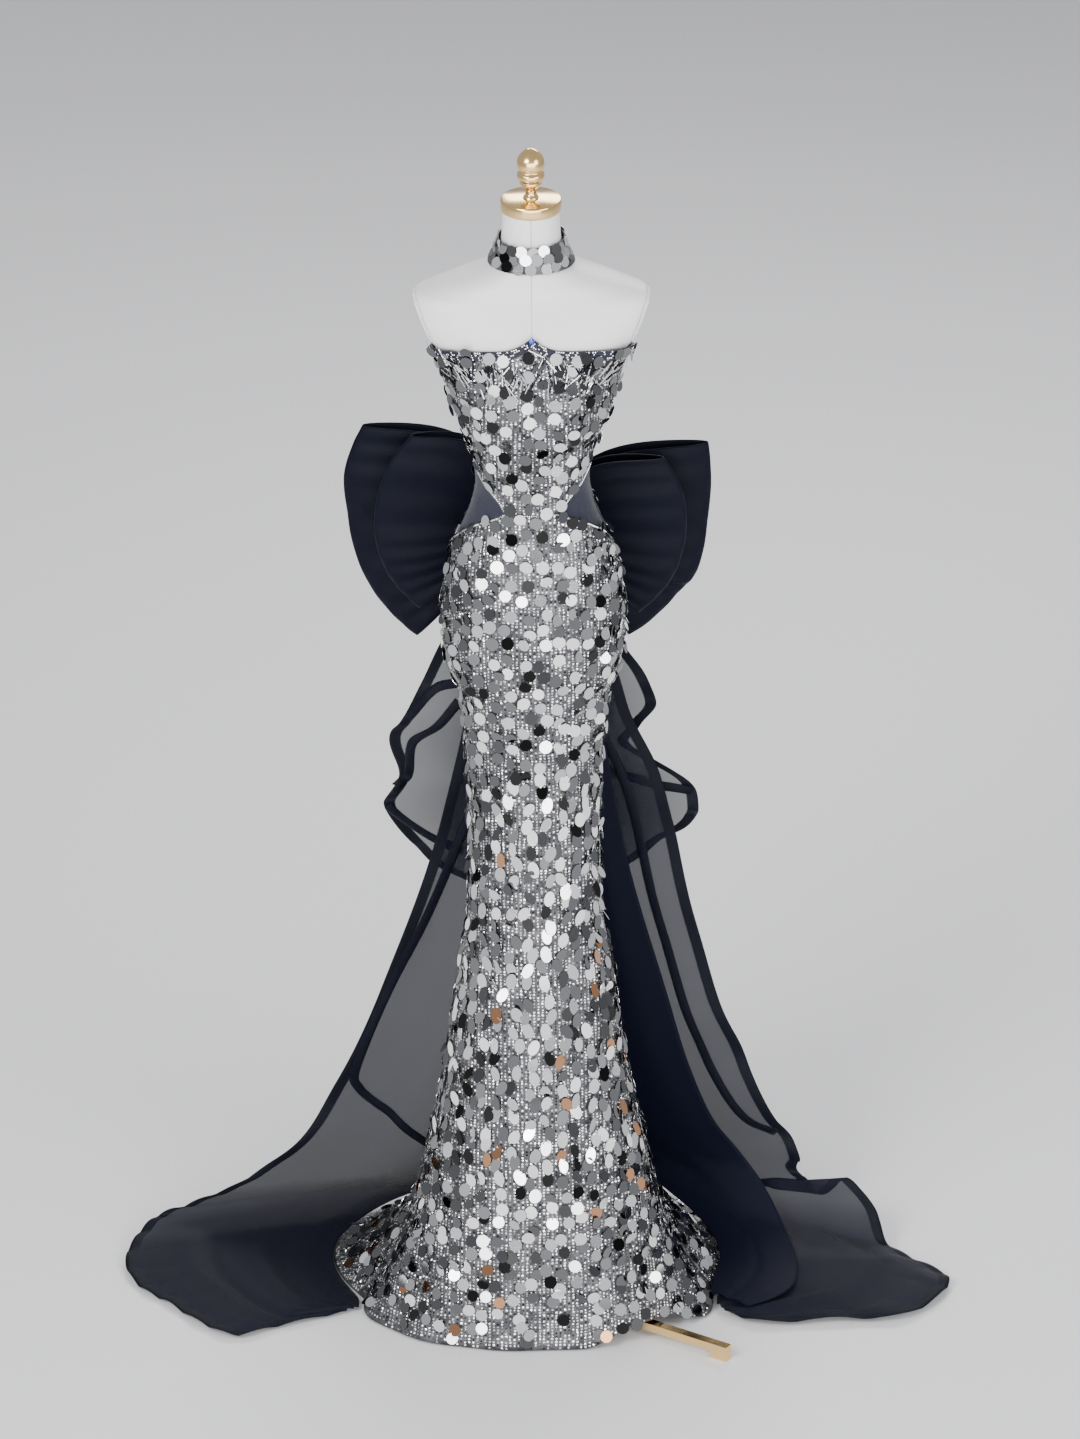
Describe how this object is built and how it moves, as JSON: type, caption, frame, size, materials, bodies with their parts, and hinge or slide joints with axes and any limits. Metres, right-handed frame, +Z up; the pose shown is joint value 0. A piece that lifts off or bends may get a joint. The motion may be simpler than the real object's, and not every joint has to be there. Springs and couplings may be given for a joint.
{
  "type": "evening gown on a dress form",
  "caption": "Strapless trumpet evening gown of silver paillettes with a navy organza back bow and trailing tails, on a limbless dress form.",
  "frame": {"origin": "on the floor under the middle of the whole part's bounding box", "axes": "+X to the right seen from the front, +Y from the front of the gown to its back, +Z up along the pole"},
  "size_m": [1.3174, 0.5906, 1.9891],
  "materials": {
    "form": "smooth off-white satin cloth over a hard form",
    "gilt": "polished gold plate",
    "sequins": "silver mirror paillettes over rows of small sequins on net",
    "beads": "navy and silver bead edging",
    "crystal": "cut blue crystal",
    "net": "fine sheer grey-navy net",
    "bow_organza": "layered dark navy organza with a soft sheen",
    "organza": "sheer black-navy organza with horsehair braid edges",
    "navy_panel": "doubled navy organza, nearly opaque"
  },
  "bodies": {
    "root": {"form_torso": "form", "arm_plate_left": "form", "arm_plate_right": "form", "neck_cap": "gilt", "finial": "gilt", "stand_hub": "gilt", "stand_pole": "gilt", "leg_front_right": "gilt", "leg_left": "gilt", "leg_back": "gilt", "zip_slider": "gilt", "bodice_front": "sequins", "bodice_back_left": "sequins", "bodice_back_right": "sequins", "skirt_front_left": "sequins", "skirt_front_right": "sequins", "skirt_back_left": "sequins", "skirt_back_right": "sequins", "neck_band": "sequins", "neckline_trim": "beads", "centre_crystal": "crystal", "inset_left": "net", "inset_right": "net", "back_zip": "net", "bow_knot": "bow_organza", "bow_left_back": "bow_organza", "bow_left_front": "bow_organza", "bow_right_back": "bow_organza", "bow_right_front": "bow_organza", "tail_left": "organza", "tail_right": "organza", "cascade_left": "organza", "cascade_right": "organza", "panel_right": "navy_panel"}
  },
  "joints": []
}
